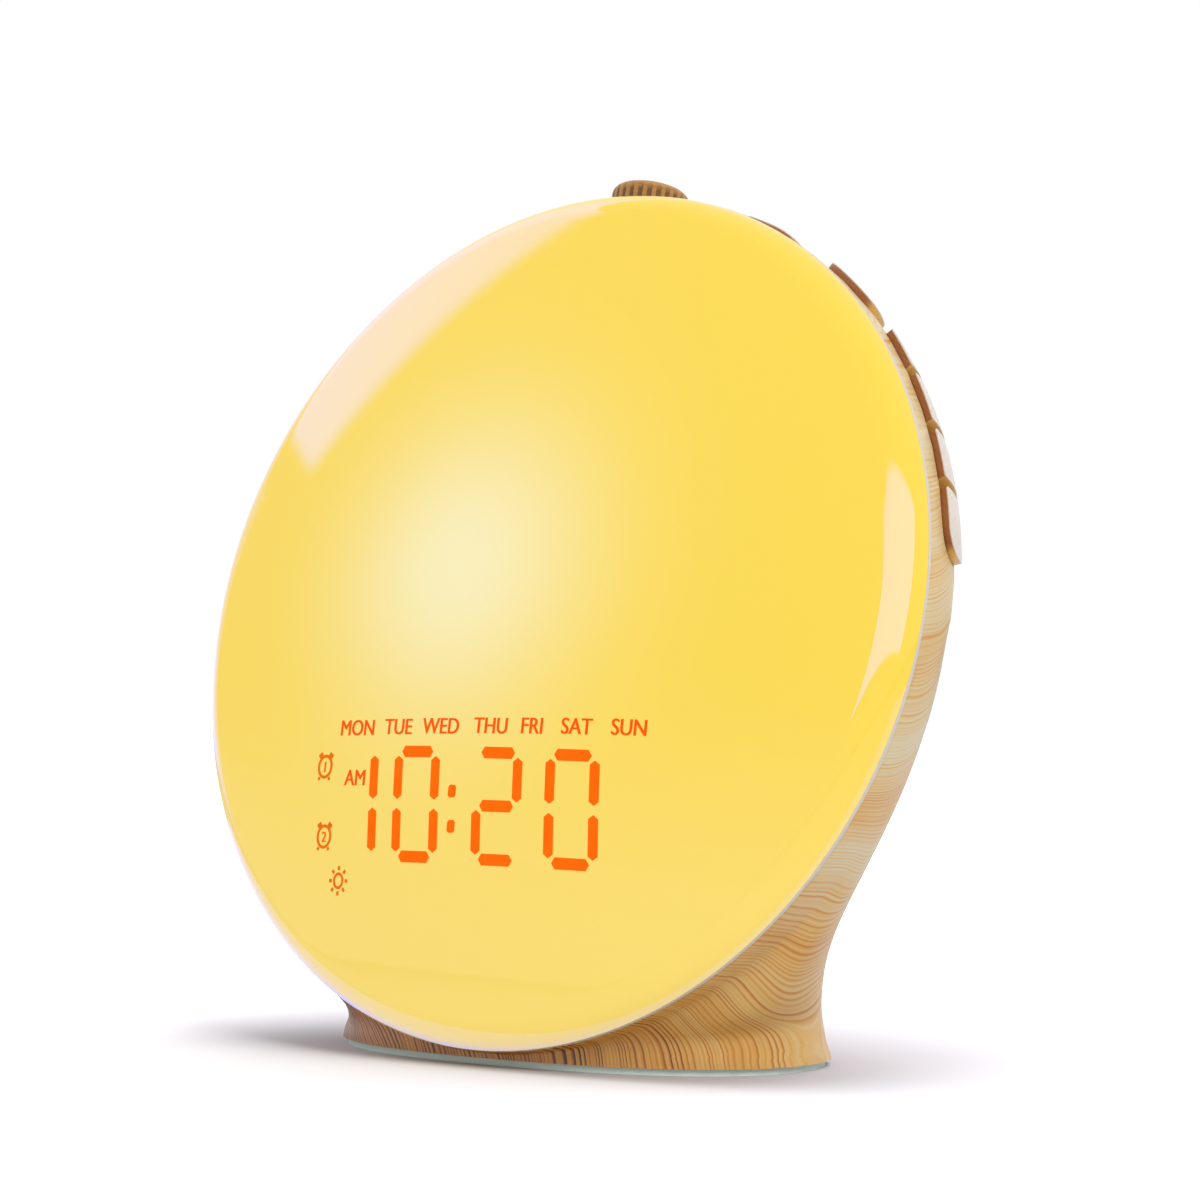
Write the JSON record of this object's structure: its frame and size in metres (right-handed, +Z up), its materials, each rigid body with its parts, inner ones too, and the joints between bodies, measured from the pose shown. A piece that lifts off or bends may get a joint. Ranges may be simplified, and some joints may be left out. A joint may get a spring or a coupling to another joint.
{
  "type": "sunrise alarm clock",
  "caption": "Sunrise alarm clock: a glowing opal dome on a wood-grain housing that leans back on an oval foot, with side keys, a fluted top knob and a rear speaker cover.",
  "frame": {"origin": "centre of the foot's pad, on the surface that the clock stands on", "axes": "+Z up, the lit face looks to -Y and leans back, +X to the right of the face"},
  "size_m": [0.17, 0.0749, 0.1713],
  "materials": {
    "wood_grain_shell": "satin, printed wood grain",
    "wood_grain_key": "satin, printed wood grain",
    "light_grey_frame": "satin",
    "opal_dome": "glossy opal, lit warm yellow",
    "white_reflector": "matt white",
    "steel_screws": "bright zinc",
    "white_board": "white solder mask",
    "led_lens": "clear over phosphor",
    "green_board": "green solder mask",
    "amber_segments": "lit amber",
    "black_plastic": "matt black",
    "cell_steel": "brushed",
    "basket_steel": "dark paint",
    "magnet_iron": "ground ferrite and plated steel",
    "cone_paper": "matt black paper",
    "surround_rubber": "matt",
    "contact_brass": "plated",
    "socket_steel": "nickel plated",
    "white_plastic": "satin",
    "grey_plastic": "fine texture",
    "soft_pad": "translucent, matt"
  },
  "bodies": {
    "body": {"housing": "wood_grain_shell", "front_frame": "light_grey_frame", "diffuser_dome": "opal_dome", "reflector_plate": "white_reflector", "reflector_screws": "steel_screws", "led_board": "white_board", "led_packages": "led_lens", "display_board": "green_board", "display_shroud": "white_reflector", "display_segments": "amber_segments", "main_board": "green_board", "main_board_chips": "black_plastic", "main_board_screws": "steel_screws", "coin_cell_holder": "black_plastic", "coin_cell": "cell_steel", "rear_cover": "wood_grain_shell", "rear_cover_screws": "steel_screws", "speaker_basket": "basket_steel", "speaker_magnet": "magnet_iron", "speaker_cone": "cone_paper", "speaker_surround": "surround_rubber", "power_jack": "black_plastic", "power_jack_pin": "contact_brass", "usb_socket": "socket_steel", "usb_tongue": "white_plastic", "base_plate": "grey_plastic", "base_screws": "steel_screws", "base_pad": "soft_pad", "right_key_board": "green_board", "left_key_board": "green_board", "key_switches": "black_plastic", "encoder_board": "green_board", "encoder_body": "grey_plastic"},
    "right_key_1": {"right_key_1": "wood_grain_key", "right_plunger_1": "white_plastic"},
    "right_key_2": {"right_key_2": "wood_grain_key", "right_plunger_2": "white_plastic"},
    "right_key_3": {"right_key_3": "wood_grain_key", "right_plunger_3": "white_plastic"},
    "right_key_4": {"right_key_4": "wood_grain_key", "right_plunger_4": "white_plastic"},
    "right_key_5": {"right_key_5": "wood_grain_key", "right_plunger_5": "white_plastic"},
    "right_key_6": {"right_key_6": "wood_grain_key", "right_plunger_6": "white_plastic"},
    "left_key_1": {"left_key_1": "wood_grain_key", "left_plunger_1": "white_plastic"},
    "left_key_2": {"left_key_2": "wood_grain_key", "left_plunger_2": "white_plastic"},
    "left_key_3": {"left_key_3": "wood_grain_key", "left_plunger_3": "white_plastic"},
    "left_key_4": {"left_key_4": "wood_grain_key", "left_plunger_4": "white_plastic"},
    "left_key_5": {"left_key_5": "wood_grain_key", "left_plunger_5": "white_plastic"},
    "left_key_6": {"left_key_6": "wood_grain_key", "left_plunger_6": "white_plastic"},
    "encoder_rotor": {"encoder_rotor": "socket_steel"},
    "top_knob": {"top_knob": "wood_grain_key", "encoder_shaft": "white_plastic"}
  },
  "joints": [
    {"name": "right_key_1_push", "type": "slide", "parent": "body", "child": "right_key_1", "axis": [-0.3738, -0.2401, -0.8959], "range_m": [0, 0.0008], "stiffness_N_per_m": 1800},
    {"name": "right_key_2_push", "type": "slide", "parent": "body", "child": "right_key_2", "axis": [-0.6259, -0.2018, -0.7533], "range_m": [0, 0.0008], "stiffness_N_per_m": 1800},
    {"name": "right_key_3_push", "type": "slide", "parent": "body", "child": "right_key_3", "axis": [-0.7918, -0.1581, -0.59], "range_m": [0, 0.0008], "stiffness_N_per_m": 1800},
    {"name": "right_key_4_push", "type": "slide", "parent": "body", "child": "right_key_4", "axis": [-0.8686, -0.1282, -0.4786], "range_m": [0, 0.0008], "stiffness_N_per_m": 1800},
    {"name": "right_key_5_push", "type": "slide", "parent": "body", "child": "right_key_5", "axis": [-0.9304, -0.0949, -0.354], "range_m": [0, 0.0008], "stiffness_N_per_m": 1800},
    {"name": "right_key_6_push", "type": "slide", "parent": "body", "child": "right_key_6", "axis": [-0.9755, -0.0569, -0.2124], "range_m": [0, 0.0008], "stiffness_N_per_m": 1800},
    {"name": "left_key_1_push", "type": "slide", "parent": "body", "child": "left_key_1", "axis": [0.3738, -0.2401, -0.8959], "range_m": [0, 0.0008], "stiffness_N_per_m": 1800},
    {"name": "left_key_2_push", "type": "slide", "parent": "body", "child": "left_key_2", "axis": [0.6259, -0.2018, -0.7533], "range_m": [0, 0.0008], "stiffness_N_per_m": 1800},
    {"name": "left_key_3_push", "type": "slide", "parent": "body", "child": "left_key_3", "axis": [0.7918, -0.1581, -0.59], "range_m": [0, 0.0008], "stiffness_N_per_m": 1800},
    {"name": "left_key_4_push", "type": "slide", "parent": "body", "child": "left_key_4", "axis": [0.8686, -0.1282, -0.4786], "range_m": [0, 0.0008], "stiffness_N_per_m": 1800},
    {"name": "left_key_5_push", "type": "slide", "parent": "body", "child": "left_key_5", "axis": [0.9304, -0.0949, -0.354], "range_m": [0, 0.0008], "stiffness_N_per_m": 1800},
    {"name": "left_key_6_push", "type": "slide", "parent": "body", "child": "left_key_6", "axis": [0.9755, -0.0569, -0.2124], "range_m": [0, 0.0008], "stiffness_N_per_m": 1800},
    {"name": "knob_turn", "type": "hinge", "parent": "body", "child": "encoder_rotor", "pos_m": [0, 0.018, 0.15023], "axis": [0, 0.2588, 0.9659], "continuous": true},
    {"name": "knob_push", "type": "slide", "parent": "encoder_rotor", "child": "top_knob", "axis": [0, -0.2588, -0.9659], "range_m": [0, 0.0008], "stiffness_N_per_m": 3000}
  ]
}
